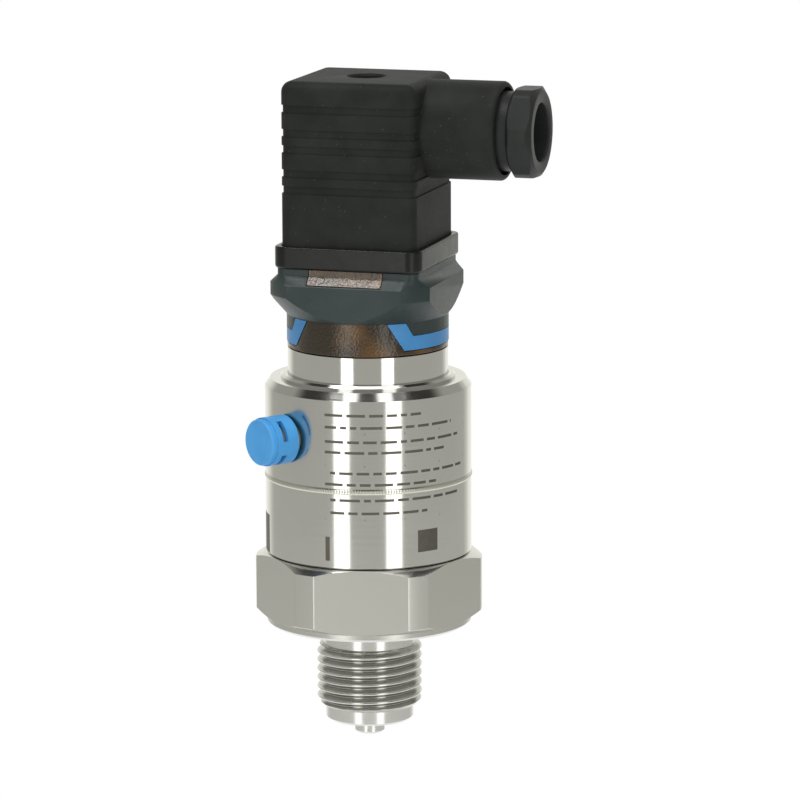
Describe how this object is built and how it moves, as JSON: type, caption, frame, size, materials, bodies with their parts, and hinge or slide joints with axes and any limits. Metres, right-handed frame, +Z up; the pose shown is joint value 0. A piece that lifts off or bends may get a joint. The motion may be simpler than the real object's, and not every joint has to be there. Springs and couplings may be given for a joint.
{
  "type": "pressure transmitter",
  "caption": "Pressure transmitter with threaded process connection, hexagon, steel housing, vent cap and a square plug with an angled cable gland.",
  "frame": {"origin": "on the instrument's axis, in the lower face of the flange above the thread", "axes": "+Z up along the instrument, +X out along the cable gland, -Y towards the plug's front"},
  "size_m": [0.0585, 0.0463, 0.1321],
  "materials": {
    "steel_turned": "turned and milled stainless steel",
    "steel_housing": "finely turned stainless steel",
    "steel_neck": "polished stainless steel",
    "washer_steel": "plain stainless steel",
    "screw_steel": "bright zinc plated steel",
    "braze_alloy": "active braze",
    "brass": "turned brass",
    "contact_metal": "tin plated brass",
    "white_ceramic": "fine alumina ceramic",
    "black_rubber": "moulded rubber",
    "gasket_rubber": "smooth moulded rubber",
    "vent_rubber": "moulded rubber",
    "board_plastic": "moulded plastic",
    "circuit_board": "circuit board",
    "chip_plastic": "moulded epoxy",
    "flex_film": "polyimide film",
    "amber_plastic": "clear amber plastic",
    "collar_plastic": "satin blue-grey plastic",
    "trim_plastic": "satin blue plastic",
    "cap_plastic": "satin blue plastic",
    "vent_plastic": "moulded plastic",
    "membrane_film": "porous film",
    "plug_plastic": "finely textured black plastic",
    "nut_plastic": "smooth black plastic",
    "terminal_plastic": "black plastic",
    "washer_plastic": "plain plastic"
  },
  "bodies": {
    "instrument": {"process_connection": "steel_turned", "sensor_housing": "steel_housing", "upper_housing": "steel_housing", "neck_sleeve": "steel_neck", "cell_seal": "black_rubber", "ceramic_diaphragm": "white_ceramic", "braze_ring": "braze_alloy", "ceramic_base": "white_ceramic", "cell_pins": "contact_metal", "support_washer": "washer_steel", "clamp_ring": "washer_steel", "board_carrier": "board_plastic", "sensor_board": "circuit_board", "main_board": "circuit_board", "board_chips": "chip_plastic", "flex_lead": "flex_film", "contact_leads": "contact_metal", "contact_carrier": "amber_plastic", "thread_insert": "brass", "blade_one": "contact_metal", "blade_two": "contact_metal", "blade_three": "contact_metal", "earth_blade": "contact_metal", "neck_o_ring": "black_rubber", "collar": "collar_plastic", "trim_band_right": "trim_plastic", "trim_band_left": "trim_plastic", "vent_body": "vent_plastic", "vent_seal_ring": "vent_rubber", "vent_membrane": "membrane_film", "vent_cap": "cap_plastic", "plug_gasket": "gasket_rubber"},
    "plug": {"plug_housing": "plug_plastic", "terminal_block": "terminal_plastic", "terminal_clamps": "brass", "terminal_screws": "screw_steel", "gland_bush": "black_rubber"},
    "screw_travel": {"screw_seal": "black_rubber"},
    "screw": {"fixing_screw": "screw_steel"},
    "nut_travel": {"gland_washer": "washer_plastic"},
    "nut": {"gland_nut": "nut_plastic"}
  },
  "joints": [
    {"name": "plug_lift", "type": "slide", "parent": "instrument", "child": "plug", "axis": [0, 0, 1], "range_m": [0, 0.03]},
    {"name": "screw_rise", "type": "slide", "parent": "plug", "child": "screw_travel", "axis": [0, 0, 1], "range_m": [0, 0.007]},
    {"name": "screw_turn", "type": "hinge", "parent": "screw_travel", "child": "screw", "pos_m": [0, 0, 0.099], "axis": [0, 0, 1], "range_deg": [0, 5040]},
    {"name": "nut_advance", "type": "slide", "parent": "plug", "child": "nut_travel", "axis": [1, 0, 0], "range_m": [0, 0.0045]},
    {"name": "nut_turn", "type": "hinge", "parent": "nut_travel", "child": "nut", "pos_m": [0.03, 0, 0.0992], "axis": [1, 0, 0], "range_deg": [0, 1080]}
  ],
  "couplings": [
    {"joint": "screw_turn", "follows": "screw_rise", "rad_per_m": 12566},
    {"joint": "nut_turn", "follows": "nut_advance", "rad_per_m": 4188.7}
  ]
}
